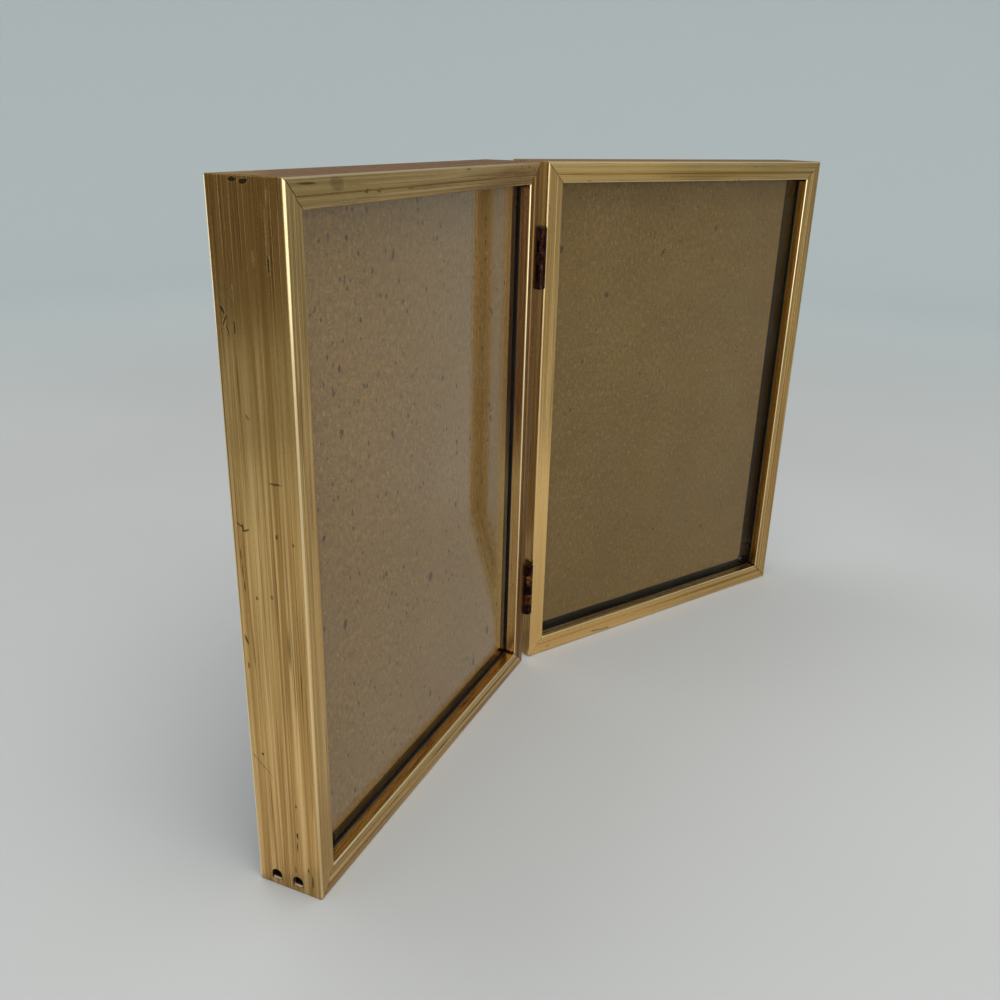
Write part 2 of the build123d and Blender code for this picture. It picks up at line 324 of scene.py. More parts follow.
# Sizes of the stains, the wear and the pits: along the rail, and across it or round it, in mm
STAIN_SIZE = (22, 1.4)
WEAR_LENGTH = 3.0
PIT_SPACING = (13.0, 4.6)
PIT_SIZE = 0.05  # in spacings

# The height up the left frame's hinge rail where its lip turns from pale to red, in mm
LIP_TURNS_RED = (95.0, 135.0)

# How far noise moves the edges of these zones and marks, in mm
LIP_RAGGEDNESS = 30.0
PAINTED_FACE_LIGHT_RAGGEDNESS = 20.0
MARK_RAGGEDNESS = 0.9
MITRE_RAGGEDNESS = 0.25

# Shifts of the seed, which keep the fields of one rail apart
MOTTLE_SHIFT = 19.0
SPECKLE_SHIFT = 23.0
STAIN_SHIFT = 31.0
WEAR_SHIFT = 37.0
PIT_SHIFT = 41.0

# Fields of streaks: length along the rail and width round it in mm, detail, and a shift of the seed
STREAKS = {
    "broad": (240, 4.2, 2.0, 0.0),
    "middling": (130, 1.1, 2.0, 3.7),
    "fine": (70, 0.42, 1.0, 7.9),
    "hair": (45, 0.2, 1.0, 9.4),
    "presence": (60, 6.0, 1.0, 15.1),
    "lines": (190, 1.9, 2.0, 11.3),
}

# Tones of the brushing, one over the other: the field that places each, the values of that field
# where the tone starts and is full, its share, and whether it comes and goes along the rail
BRUSHED_TONES = (
    ("middling", GOLD_PALE, 0.52, 0.72, 0.35, False),
    ("fine", GOLD_STAIN_AND_SHADE, 0.47, 0.3, 0.6, True),
    ("fine", GOLD_PALE, 0.54, 0.72, 0.3, False),
    ("hair", GOLD_STAIN_AND_SHADE, 0.44, 0.3, 0.45, True),
)

# Painted light and shade on a rail's face, as it would mirror the room: a tone, its share, and
# the run in mm where it starts and is full, or None where it lies on the whole rail
PAINTED_FACE_LIGHT = {
    ("left", "top"): [(GOLD_DEEP, 0.2, None, None), (OLIVE_FACE_SHADE, 0.4, 70.0, 140.0)],
    ("left", "hinge"): [(GOLD_STAIN_AND_SHADE, 0.85, None, None)],
    ("left", "outer"): [
        (OLIVE_FACE_SHADE, 0.3, 110.0, 190.0), (WARM_FACE_LIGHT, 0.25, 130.0, 90.0), (GOLD_DEEP, 0.5, 50.0, 15.0),
    ],
    ("right", "hinge"): [(OLIVE_FACE_SHADE, 0.75, 120.0, 190.0), (WARM_FACE_LIGHT, 0.8, 120.0, 70.0)],
    ("right", "outer"): [(OLIVE_FACE_SHADE, 0.5, 130.0, 190.0)],
    ("right", "top"): [(WARM_FACE_LIGHT, 0.4, 90.0, 40.0), (OLIVE_FACE_SHADE, 0.25, 90.0, 130.0)],
    ("right", "bottom"): [(WARM_FACE_LIGHT, 0.6, 120.0, 50.0)],
}

# Marks that the photo shows: run along the rail, girth (depth on the wall, minus the place across
# the face), half length, half width, all in mm, a turn in degrees and how dark the mark is
RAIL_MARKS = {
    ("left", "outer"): [
        (206.9, 14.4, 0.5, 1.1, 0, 0.95), (206.6, 11.3, 0.55, 1.2, 10, 0.95),
        (200.3, 6.7, 1.3, 0.28, 0, 0.5), (203.6, 5.0, 1.5, 0.2, 0, 0.35),
        (188.1, 5.6, 1.9, 0.34, 0, 0.85), (194.0, 5.8, 5.5, 0.14, 0, 0.4),
        (189.2, 9.8, 1.6, 0.2, 0, 0.4), (180.7, 16.7, 1.4, 0.26, 0, 0.6),
        (176.3, 20.1, 1.0, 0.4, 30, 0.9), (174.0, 19.6, 1.5, 0.25, -25, 0.9),
        (171.6, 19.0, 1.6, 0.22, 20, 0.8), (172.4, 16.8, 1.5, 0.3, 0, 0.85),
        (149.9, 15.0, 0.8, 0.32, 30, 0.6), (133.1, 7.7, 0.22, 1.6, 2, 0.7),
        (119.6, 20.1, 0.22, 1.0, -30, 0.75), (118.3, 18.2, 0.22, 1.0, 20, 0.75),
        (119.0, 19.1, 0.8, 0.22, 0, 0.75), (118.4, 8.3, 0.6, 0.3, 0, 0.7),
        (117.0, 3.2, 0.5, 0.25, 0, 0.6), (110.8, 20.5, 1.6, 0.16, 0, 0.6),
        (106.3, 20.3, 1.8, 0.16, 0, 0.6), (101.6, 20.0, 1.4, 0.18, 0, 0.7),
        (98.7, 16.2, 0.5, 0.3, 0, 0.6), (100.1, 11.2, 0.5, 0.25, 0, 0.6),
        (84.8, 20.8, 1.2, 0.34, 20, 0.7), (76.5, 20.8, 0.8, 0.26, 0, 0.6),
        (43.9, 19.1, 4.2, 0.1, 46, 0.6), (47.4, 18.3, 0.4, 0.32, 0, 0.85),
        (32.2, 7.6, 0.4, 0.26, 0, 0.7), (21.5, 7.8, 0.9, 0.26, 0, 0.85),
        (17.1, 8.0, 1.6, 0.16, 0, 0.8), (8.2, 9.2, 1.1, 0.18, 0, 0.6),
        (9.6, 4.5, 0.7, 0.26, 0, 0.7), (5.6, 3.2, 1.9, 0.2, 0, 0.8),
    ],
    ("left", "top"): [
        (146.5, -1.7, 3.2, 0.2, 2, 0.7), (133.8, -2.2, 2.4, 1.4, 10, 0.3),
        (119.7, -4.4, 0.7, 0.26, 0, 0.6), (113.2, -4.5, 0.9, 0.26, 0, 0.5),
        (96.0, -4.6, 1.4, 0.15, 0, 0.5), (60.0, -1.0, 1.2, 0.2, 0, 0.5),
        (18.0, -1.2, 0.8, 0.2, 0, 0.5), (11.0, -1.6, 1.1, 0.25, 0, 0.5),
        (6.0, -2.6, 0.9, 0.2, 15, 0.5),
    ],
    ("right", "hinge"): [(191.5, -1.4, 1.2, 0.3, 20, 0.25), (188.5, -1.2, 0.9, 0.25, -15, 0.25)],
    ("right", "bottom"): [
        (39.5, -1.9, 2.2, 0.3, 4, 0.6), (43.5, -1.5, 2.0, 0.22, -6, 0.6),
        (37.2, -2.2, 0.9, 0.35, 0, 0.6), (46.2, -1.2, 0.8, 0.25, 20, 0.5),
        (10.5, -2.4, 0.6, 0.3, 0, 0.5),
    ],
    ("right", "top"): [
        (112.0, -2.0, 1.0, 0.16, 0, 0.4), (103.0, -6.9, 0.7, 0.25, 0, 0.5),
        (20.0, -6.6, 1.1, 0.18, 0, 0.4),
    ],
    ("left", "bottom"): [(60.0, -2.2, 1.0, 0.25, 0, 0.5), (101.0, -5.4, 0.9, 0.2, 0, 0.5)],
    ("right", "outer"): [
        (112.0, 11.0, 0.9, 0.26, 0, 0.7), (64.0, 6.0, 1.4, 0.2, 0, 0.6),
        (150.0, 16.0, 1.2, 0.26, 10, 0.7),
    ],
    ("left", "hinge"): [(150.0, -3.0, 0.8, 0.2, 0, 0.4), (40.0, -5.0, 0.9, 0.25, 0, 0.4)],
}


class Rail(Shader):
    """The gilt of one rail, with places on it in mm.

    run goes along the rail, across inwards from its outer wall, d back from its face, and girth
    round its section: the depth on the wall, and minus the place across the face.
    """

    def __init__(self, leaf, rail, seed):
        super().__init__(f"gilt_{leaf.side}_{rail}")
        u, d, z = self.leaf_place(leaf)
        upright = rail in ("outer", "hinge")
        self.leaf = leaf
        self.key = (leaf.side, rail)
        self.seed = seed
        self.d = d
        self.run = z if upright else u
        self.length = leaf.height if upright else leaf.width
        self.direction = UPWARD if upright else tuple(leaf.along)
        self.across = {
            "outer": self.minus(leaf.width, u),
            "hinge": u,
            "top": self.minus(leaf.height, z),
            "bottom": z,
        }[rail]
        self.girth = self.minus(d, self.across)
        mottle_place = self.join(self.run, self.girth, seed + MOTTLE_SHIFT)
        self.mottle = self.noise(mottle_place, detail=3.0, roughness=0.6, scale=1.3)
        speckle_place = self.join(self.times(self.run, 0.6), self.girth, seed + SPECKLE_SHIFT)
        self.speckle = self.noise(speckle_place, detail=1.0, scale=4.0)

    def grain(self, run_length, width, detail, shift):
        """Noise in streaks about run_length long and width wide, in mm."""
        place = self.join(
            self.over(self.run, run_length), self.over(self.girth, width), self.seed + shift
        )
        return self.noise(place, detail)

    def lip(self):
        """How far a place is on the lip inside the opening, and the lip's colour there."""
        inside = self.before(self.leaf.face, self.across, ON_LIP_ACROSS)
        on_lip = self.times(inside, self.ramp(self.d, *ON_LIP_DEPTH))
        stain_length, stain_width = STAIN_SIZE
        stain_place = self.join(
            self.over(self.run, stain_length), self.over(self.d, stain_width),
            self.seed + STAIN_SHIFT,
        )
        stains = self.noise(stain_place, detail=3.0, roughness=0.6)
        # Lip tones are set rail by rail: stains on most, and painted light on the right frame's
        # bottom lip, which faces up and is pale all over; the left hinge lip goes from pale low
        # down to dark red higher up
        if self.key == ("left", "hinge"):
            height = self.plus(self.run, self.times(stains, LIP_RAGGEDNESS))
            colour = self.mix(self.ramp(height, *LIP_TURNS_RED, 0.0, 0.9), LIP_PALE, LIP_RED)
        elif self.key == ("right", "outer"):
            colour = self.mix(self.ramp(stains, 0.45, 0.7), LIP_ORANGE, LIP)
        elif self.key == ("right", "bottom"):
            colour = LIP_PALE
        else:
            colour = self.mix(self.ramp(stains, 0.45, 0.66), LIP, LIP_STAIN)
        return on_lip, colour

    def painted_shade(self, on_lip):
        """The lip's end and the inside of the wall, painted black and dull as painted shade."""
        leaf = self.leaf
        shaded_lip_end = self.times(on_lip, self.before(leaf.lip, self.d, LIP_END_SHADE))
        behind_lip = self.before(leaf.lip, self.d, INSIDE_FRONT)
        before_hem = self.before(leaf.back, self.d, INSIDE_REAR)
        within_wall = self.ramp(self.across, *WALL_INSIDE)
        return self.most(shaded_lip_end, self.times(within_wall, self.times(behind_lip, before_hem)))

    def arrises(self):
        """Front and inner edges, with the wear and painted highlight on them and the rear edge."""
        leaf = self.leaf
        front = self.times(self.ramp(self.magnitude(self.girth), *FRONT_ARRIS), 0.6)
        off_edge = self.minus(
            self.minus(leaf.face, self.across), self.minus(self.d, INNER_ARRIS_DEPTH)
        )
        inner = self.times(
            self.ramp(self.magnitude(off_edge), *INNER_ARRIS),
            self.before(leaf.face, self.across, INNER_ARRIS_ACROSS),
        )
        rear = self.times(
            self.ramp(self.across, *REAR_ARRIS_ACROSS),
            self.before(leaf.back, self.d, REAR_ARRIS_DEPTH),
        )
        wear_place = self.join(
            self.over(self.run, WEAR_LENGTH), self.girth, self.seed + WEAR_SHIFT
        )
        wear = self.ramp(self.noise(wear_place, detail=3.0, roughness=0.65), 0.28, 0.38, 0.45, 1.0)
        # Pale edges: partly bare brass from wear, partly a painted highlight
        wear_and_highlight = self.times(self.most(front, self.times(inner, 0.8), rear), wear)
        return front, inner, wear_and_highlight

    def with_painted_face_light(self, colour, front, inner):
        """The face's painted light and shade over the colour, leaving the rubbed edges out."""
        kept = inner if self.key == ("left", "hinge") else self.most(inner, front)
        on_face = self.times(self.ramp(self.d, *ON_FACE_DEPTH), self.minus(1.0, kept))
        shift = self.times(self.centred(self.mottle), PAINTED_FACE_LIGHT_RAGGEDNESS)
        uneven_run = self.plus(self.run, shift)
        for painted_tone, share, start, full in PAINTED_FACE_LIGHT.get(self.key, []):
            reach = 1.0 if start is None else self.ramp(uneven_run, start, full)
            colour = self.mix(self.times(on_face, share, reach), colour, painted_tone)
        return colour

    def dirt(self):
        """Marks that the photo shows, pits scattered by the seed, and the dirt in the mitres."""
        ragged = self.join(self.centred(self.mottle), self.centred(self.speckle))
        ragged = self.scaled(ragged, MARK_RAGGEDNESS)
        mark_place = self.vector("ADD", self.join(self.run, self.girth), ragged)
        marks = self.marks(mark_place, RAIL_MARKS[self.key])

        pit_run, pit_girth = PIT_SPACING
        pit_place = self.join(
            self.over(self.run, pit_run), self.over(self.girth, pit_girth), self.seed + PIT_SHIFT
        )
        distance, chances = self.cells(pit_place)
        chance = self.ramp(self.vector("DOT_PRODUCT", chances, RED), 0.6, 1.0)
        strength = self.ramp(self.vector("DOT_PRODUCT", chances, GREEN), 0.0, 1.0, 0.3, 0.8)
        pits = self.times(self.spots(self.times(chance, PIT_SIZE), distance, 0.03), strength)

        end = self.least(self.run, self.minus(self.length, self.run))
        off_mitre = self.magnitude(self.minus(end, self.across))
        off_mitre = self.plus(off_mitre, self.times(self.mottle, MITRE_RAGGEDNESS))
        mitre = self.ramp(off_mitre, *MITRE_DIRT, 1.0, 0.0)
        mitre = self.times(mitre, self.ramp(self.girth, 1.0, 0.0))
        return self.most(marks, pits, self.times(mitre, 0.85))

    def tangent(self):
        """The direction that spreads reflections across the brushing."""
        turned = self.add(
            "VectorTransform", vector_type="VECTOR", convert_from="OBJECT", convert_to="WORLD"
        )
        turned.inputs[0].default_value = self.direction
        if self.key == ("left", "hinge"):
            return turned.outputs[0]
        facing = self.add("NewGeometry").outputs["Normal"]
        return self.vector("CROSS_PRODUCT", facing, turned.outputs[0])


def gilt(leaf, rail, seed):
    """Brushed antique gold on one rail, with its grain along the rail."""
    shader = Rail(leaf, rail, seed)
    times, plus, minus, ramp, lay = (
        shader.times, shader.plus, shader.minus, shader.ramp, shader.lay
    )

    # Soft bands, and over them hairlines that come and go along the rail
    fields = {name: shader.grain(*streak) for name, streak in STREAKS.items()}
    presence = ramp(fields["presence"], 0.34, 0.62, 0.25, 1.0)
    off_line = shader.magnitude(shader.centred(fields["lines"]))
    lines = times(ramp(off_line, 0.004, 0.022, 1.0, 0.0), presence)
    streak = plus(times(fields["broad"], 0.4), times(fields["middling"], 0.6))
    colour = shader.mix(ramp(streak, 0.36, 0.62, 0.1, 1.0), GOLD_DEEP, GOLD)
    for name, tint, low, high, share, broken in BRUSHED_TONES:
        amount = ramp(fields[name], low, high)
        colour = lay(colour, tint, times(amount, presence) if broken else amount, share)
    colour = lay(colour, GOLD_STAIN_AND_SHADE, lines, 0.75)
    colour = lay(colour, GOLD_DEEP, ramp(shader.mottle, 0.55, 0.75), 0.2)
    colour = lay(colour, GOLD_STAIN_AND_SHADE, ramp(shader.speckle, 0.58, 0.74), 0.22)

    on_lip, lip_colour = shader.lip()
    painted_shade = shader.painted_shade(on_lip)
    front, inner, wear_and_highlight = shader.arrises()
    dirt = shader.dirt()
    colour = lay(colour, lip_colour, on_lip, 0.85)
    # Painted highlight with wear: the edges' pale tone
    colour = lay(colour, BARE_BRASS_AND_HIGHLIGHT, wear_and_highlight, 0.85)
    # Painted light and shade: each face darker or paler as it would mirror the room
    colour = shader.with_painted_face_light(colour, front, inner)
    colour = shader.mix(dirt, colour, PIT)
    # Painted shade: the lip's end and the inside of the wall are made black
    colour = shader.mix(painted_shade, colour, PAINTED_SHADE_BLACK)

    roughness = ramp(streak, 0.35, 0.6, GILT_DULL, GILT_BRIGHT)
    roughness = plus(roughness, times(shader.speckle, 0.05))
    roughness = minus(roughness, times(wear_and_highlight, 0.06))
    roughness = plus(roughness, times(shader.most(dirt, painted_shade), 0.4))

    height = plus(times(fields["fine"], 0.6), times(fields["middling"], 0.8))
    height = minus(height, times(lines, 0.5))
    height = minus(height, times(dirt, 1.2))
    shader.set(
        Base_Color=colour,
        Metallic=minus(1.0, times(painted_shade, 0.9)),
        Roughness=roughness,
        Normal=shader.bump(height, GILT_RELIEF, shader.rounded()),
        Tangent=shader.tangent(),
        Anisotropic=GILT_ANISOTROPY,
    )
    return shader.material


# Glass

GLASS_TINT = (0.96, 0.985, 0.975, 1)
GLASS_SHADOW = (0.93, 0.955, 0.945, 1)  # what is left of the lamps' light behind a pane
GLASS_IOR = {"left": 1.3, "right": 1.24}  # the left pane mirrors more of the room
DUST = tone(190, 186, 176)
WIPE_SIZE = (26, 9)  # of the wiping marks, in mm
DUST_SHIFT = 5.0

# The black corner of a pane, which is painted shade, where it starts and is full: in mm before the
# outer wall, and up
SHADED_CORNER_ACROSS = (17.0, 13.0)
SHADED_CORNER_HEIGHT = (14.0, 10.5)
SHADED_CORNER_SHARE = 0.85


def glass(leaf, seed):
    """A clear pane with dust, wiping marks and a painted-shade black outer corner at the bottom.

    Lamp light passes straight through it.
    """
    shader = Shader(f"glass_{leaf.side}")
    times, most, ramp = shader.times, shader.most, shader.ramp
    u, _, z = shader.leaf_place(leaf)
    wipe_length, wipe_height = WIPE_SIZE
    wipe_place = shader.join(shader.over(u, wipe_length), shader.over(z, wipe_height), seed)
    wipes = shader.noise(wipe_place, detail=4.0, roughness=0.6)
    dust = shader.noise(shader.join(u, z, seed + DUST_SHIFT), roughness=0.7, scale=1.9)
    # Painted shade: a black film on the pane's lower outer corner
    corner = shader.before(leaf.width, u, SHADED_CORNER_ACROSS)
    corner = shader.least(corner, ramp(z, *SHADED_CORNER_HEIGHT))
    film = shader.plus(ramp(wipes, 0.45, 0.75, 0.0, 0.01), ramp(dust, 0.68, 0.8, 0.0, 0.05))
    film = most(film, times(corner, SHADED_CORNER_SHARE))
    shader.set(
        Base_Color=GLASS_TINT,
        Metallic=0.0,
        Transmission_Weight=1.0,
        IOR=GLASS_IOR[leaf.side],
        Roughness=ramp(wipes, 0.5, 0.8, 0.0, 0.02),
    )
    dusty = shader.add("BsdfDiffuse")
    # The film turns black in that corner: painted shade
    shader.feed(dusty.inputs["Color"], shader.mix(ramp(corner, 0.0, 0.15), DUST, PAINTED_SHADE_BLACK))
    clear = shader.add("BsdfTransparent")
    clear.inputs["Color"].default_value = GLASS_SHADOW
    path = shader.add("LightPath")
    indirect = most(path.outputs["Is Shadow Ray"], path.outputs["Is Diffuse Ray"])

    def mixed(share, first, second):
        node = shader.add("MixShader")
        for socket, value in zip(node.inputs, (share, first, second)):
            shader.feed(socket, value)
        return node.outputs[0]

    filmed = mixed(film, shader.surface.outputs[0], dusty.outputs[0])
    passing = mixed(indirect, filmed, clear.outputs[0])
    shader.feed(shader.output.inputs["Surface"], passing)
    return shader.material


# Boards

BOARD_TONES = {"left": tone(124, 86, 36), "right": tone(106, 77, 30)}
BOARD_CONTRASTS = {"left": 1.6, "right": 1.0}
BOARD_LIGHT = tone(154, 126, 76)
BOARD_DARK = tone(78, 60, 32)
BOARD_CLOUDING = 0.07  # how far the clouds reach towards the dark and the light tone
BOARD_RELIEF = 0.00002  # metres
FLECK = tone(62, 36, 6)
FLECK_RAGGEDNESS = 1.4  # mm
FLECK_ROUGH_EDGE = 0.05  # of the scattered ones, in spacings
PALE_GRAIN = tone(206, 188, 146)
PALE_SPACING = (11.0, 15.0)  # mm
PALE_SIZE = 0.045  # in spacings

# Shifts of the seed, which keep the fields of one board apart
FIBRE_SHIFT = 3.0
GRAIN_SHIFT = 5.0
PALE_SHIFT = 26.0

# Tones of the grain, one over the other: the field that places each, the values of the field where
# the tone starts and is full, and its share
GRAINED_TONES = (
    ("felt", BOARD_LIGHT, 0.5, 0.68, 0.4),
    ("felt", BOARD_DARK, 0.5, 0.34, 0.5),
    ("fibres", BOARD_DARK, 0.58, 0.74, 0.4),
    ("grains", BOARD_DARK, 0.52, 0.66, 0.3),
    ("grains", BOARD_LIGHT, 0.48, 0.34, 0.3),
)

# Flecks scattered by the seed: spacing in mm, size in spacings, how many times longer than wide,
# how dark, and a shift of the seed
SCATTERED_FLECKS = (
    (13.0, 0.085, 1.8, 0.9, 0.0),
    (5.5, 0.12, 1.4, 0.8, 9.0),
    (2.4, 0.2, 1.6, 0.55, 17.0),
)

# Flecks that the photo shows: u, z, half length and half width in mm, a turn in degrees and how
# dark the fleck is
BOARD_FLECKS = {
    "left": [
        (133.5, 191.5, 0.5, 0.35, 0, 0.9), (130.1, 188.0, 0.6, 0.25, 20, 0.7),
        (96.6, 184.6, 0.6, 1.4, 10, 0.8), (129.8, 151.5, 0.25, 1.5, 0, 0.9),
        (114.1, 149.7, 0.8, 0.4, 30, 0.8), (106.3, 151.2, 0.25, 1.1, 0, 0.7),
        (136.5, 174.7, 0.4, 0.8, 15, 0.7), (124.1, 164.6, 0.5, 0.4, 0, 0.7),
        (93.0, 141.9, 0.35, 1.0, -15, 0.7), (84.8, 137.1, 0.5, 0.5, 0, 0.7),
        (74.1, 72.2, 1.2, 1.5, 20, 0.85), (60.0, 96.0, 0.7, 0.4, 40, 0.6),
        (110.0, 110.0, 0.25, 1.2, 0, 0.7), (97.0, 60.0, 0.35, 0.9, 10, 0.6),
        (120.0, 128.0, 0.25, 1.0, 5, 0.7),
    ],
    "right": [
        (12.8, 175.0, 0.8, 1.3, -25, 0.8), (67.8, 171.3, 0.5, 1.5, -35, 0.7),
        (49.4, 190.6, 0.5, 0.4, 0, 0.7), (98.5, 180.1, 0.5, 1.2, 0, 0.7),
        (38.0, 155.8, 0.8, 0.9, 0, 0.75), (77.9, 175.4, 0.6, 0.4, 0, 0.7),
        (60.0, 120.0, 0.6, 0.8, 20, 0.6), (108.0, 150.0, 0.7, 0.5, 0, 0.6),
        (30.0, 98.0, 0.5, 0.6, 0, 0.6), (90.0, 70.0, 0.8, 0.5, 30, 0.6),
    ],
}


def chipboard(leaf, seed):
    """Grey-brown chipboard: short fibres, pale and dark grains, and scattered dark flecks."""
    shader = Shader(f"chipboard_{leaf.side}")
    times, ramp = shader.times, shader.ramp
    u, d, z = shader.leaf_place(leaf)
    base = BOARD_TONES[leaf.side]
    contrast = BOARD_CONTRASTS[leaf.side]
    flat = shader.join(u, z, shader.plus(d, seed))
    clouds = shader.noise(flat, detail=3.0, roughness=0.6, scale=0.03)
    felt = shader.noise(flat, detail=3.0, roughness=0.75, scale=1.7)
    fibre_place = shader.join(times(u, 1.9), times(z, 0.55), seed + FIBRE_SHIFT)
    fibres = shader.noise(fibre_place, roughness=0.6)
    grain_place = shader.join(u, times(z, 0.5), seed + GRAIN_SHIFT)
    grains = shader.noise(grain_place, detail=3.0, roughness=0.75, scale=0.8)
    fields = {"felt": felt, "fibres": fibres, "grains": grains}
    colour = shader.mix(
        ramp(clouds, 0.35, 0.65),
        shader.mix(BOARD_CLOUDING, base, BOARD_DARK),
        shader.mix(BOARD_CLOUDING, base, BOARD_LIGHT),
    )
    for name, tint, low, high, share in GRAINED_TONES:
        colour = shader.lay(colour, tint, ramp(fields[name], low, high), share * contrast)

    ragged = shader.join(shader.centred(felt), shader.centred(fibres))
    ragged = shader.scaled(ragged, FLECK_RAGGEDNESS)
    fleck_place = shader.vector("ADD", shader.join(u, z), ragged)
    flecks = shader.marks(fleck_place, BOARD_FLECKS[leaf.side])
    for spacing, size, stretch, strength, shift in SCATTERED_FLECKS:
        size *= contrast ** 0.5
        cell_place = shader.join(
            shader.over(u, spacing), shader.over(z, spacing * stretch), seed + shift
        )
        distance, chances = shader.cells(cell_place)
        distance = shader.plus(distance, times(shader.centred(felt), FLECK_ROUGH_EDGE))
        reach = ramp(shader.vector("DOT_PRODUCT", chances, RED), 0.3, 1.0, 0.0, size)
        spots = shader.spots(reach, distance, size * 0.25)
        flecks = shader.most(flecks, times(spots, min(1.0, strength * contrast)))
    colour = shader.mix(flecks, colour, FLECK)

    pale_u, pale_z = PALE_SPACING
    pale_place = shader.join(shader.over(u, pale_u), shader.over(z, pale_z), seed + PALE_SHIFT)
    distance, chances = shader.cells(pale_place)
    reach = ramp(shader.vector("DOT_PRODUCT", chances, GREEN), 0.4, 1.0, 0.0, PALE_SIZE)
    colour = shader.lay(colour, PALE_GRAIN, shader.spots(reach, distance, 0.02), 0.45)

    height = shader.plus(felt, times(fibres, 0.5))
    shader.set(
        Base_Color=colour,
        Roughness=ramp(felt, 0.3, 0.7, 0.8, 0.92),
        Normal=shader.bump(height, BOARD_RELIEF),
        Specular_IOR_Level=0.3,
    )
    return shader.material


KRAFT = tone(176, 142, 104)
KRAFT_DARK = tone(128, 98, 66)
# Painted shade in the hollows between the flutes
FLUTE_HOLLOW_SHADE = tone(48, 34, 22)
FLUTE_LENGTH = 6.0  # of one wave, in mm
FLUTE_SWING = 0.36  # of the wave to each side, in plies
PLY = 3.7  # from one liner to the next, in mm
KRAFT_RELIEF = 0.0002  # metres


def corrugated(leaf, seed):
    """Kraft packing whose edges show flutes between liners, with painted shade in the hollows."""
    shader = Shader(f"kraft_{leaf.side}")
    times, plus, ramp = shader.times, shader.plus, shader.ramp
    u, d, z = shader.leaf_place(leaf)
    wave = shader.math("SINE", times(plus(u, z), math.tau / FLUTE_LENGTH))
    level = shader.centred(shader.math("FRACT", shader.over(d, PLY)))
    off_flute = shader.magnitude(shader.minus(level, times(wave, FLUTE_SWING)))
    liner = ramp(shader.magnitude(level), 0.4, 0.44)
    paper = shader.most(ramp(off_flute, 0.1, 0.16, 1.0, 0.0), liner)
    felt_place = shader.join(u, z, plus(d, seed))
    felt = shader.noise(felt_place, detail=3.0, roughness=0.65, scale=1.4)
    colour = shader.mix(ramp(felt, 0.35, 0.7), KRAFT_DARK, KRAFT)
    shader.set(
        # Painted shade: the hollows between flutes and liners are dark
        Base_Color=shader.mix(paper, FLUTE_HOLLOW_SHADE, colour),
        Roughness=ramp(felt, 0.3, 0.7, 0.82, 0.95),
        Normal=shader.bump(plus(times(paper, 2.0), felt), KRAFT_RELIEF),
    )
    return shader.material


FLOCK = tone(30, 28, 31)
FLOCK_RUBBED = tone(66, 62, 64)
FLOCK_RELIEF = 0.00025  # metres
FLOCK_RUBBED_EDGE = (3.2, 1.4)  # in from the edge, where the rubbing starts and is full, in mm
LINT = tone(170, 166, 158)
LINT_SPACING = (11, 7)  # mm
LINT_SHIFT = 7.0


def flock(leaf, seed):
    """Black velvet-flocked board with pile that leans in patches and is rubbed along the edges."""
    shader = Shader(f"flock_{leaf.side}")
    times, plus, minus, ramp = shader.times, shader.plus, shader.minus, shader.ramp
    low, high = leaf.span("back_panel")
    u, d, z = shader.leaf_place(leaf)
    flat = shader.join(u, z, plus(d, seed))
    pile = shader.noise(flat, detail=3.0, roughness=0.75, scale=3.2)
    lean = shader.noise(flat, detail=4.0, roughness=0.6, scale=0.05)
    edge_u = shader.least(minus(u, low.x), minus(high.x, u))
    edge_z = shader.least(minus(z, low.z), minus(high.z, z))
    edge = plus(shader.least(edge_u, edge_z), times(lean, 3.0))
    lint_u, lint_z = LINT_SPACING
    lint_place = shader.join(shader.over(u, lint_u), shader.over(z, lint_z), seed + LINT_SHIFT)
    lint, _ = shader.cells(lint_place)
    colour = shader.mix(ramp(lean, 0.35, 0.7, 0.0, 0.5), FLOCK, FLOCK_RUBBED)
    colour = shader.lay(colour, FLOCK_RUBBED, ramp(pile, 0.55, 0.75), 0.6)
    colour = shader.mix(ramp(edge, *FLOCK_RUBBED_EDGE, 0.0, 0.8), colour, FLOCK_RUBBED)
    colour = shader.mix(ramp(lint, 0.05, 0.02, 0.0, 0.6), colour, LINT)
    shader.set(
        Base_Color=colour,
        Roughness=ramp(pile, 0.3, 0.7, 0.86, 1.0),
        Normal=shader.bump(plus(pile, times(lean, 2.0)), FLOCK_RELIEF),
        Sheen_Weight=0.35,
        Sheen_Roughness=0.5,
        Specular_IOR_Level=0.2,
    )
    return shader.material


# Small metal parts

TONGUE = tone(236, 222, 190)
TONGUE_DEPTH = 0.6  # how far in from the wall's outer side the staked tongues are bright, in mm
TONGUE_TOP = 2.6  # and how far up
SCRATCH_WIDTH = 0.35  # mm
METAL_RELIEF = 0.00003  # metres


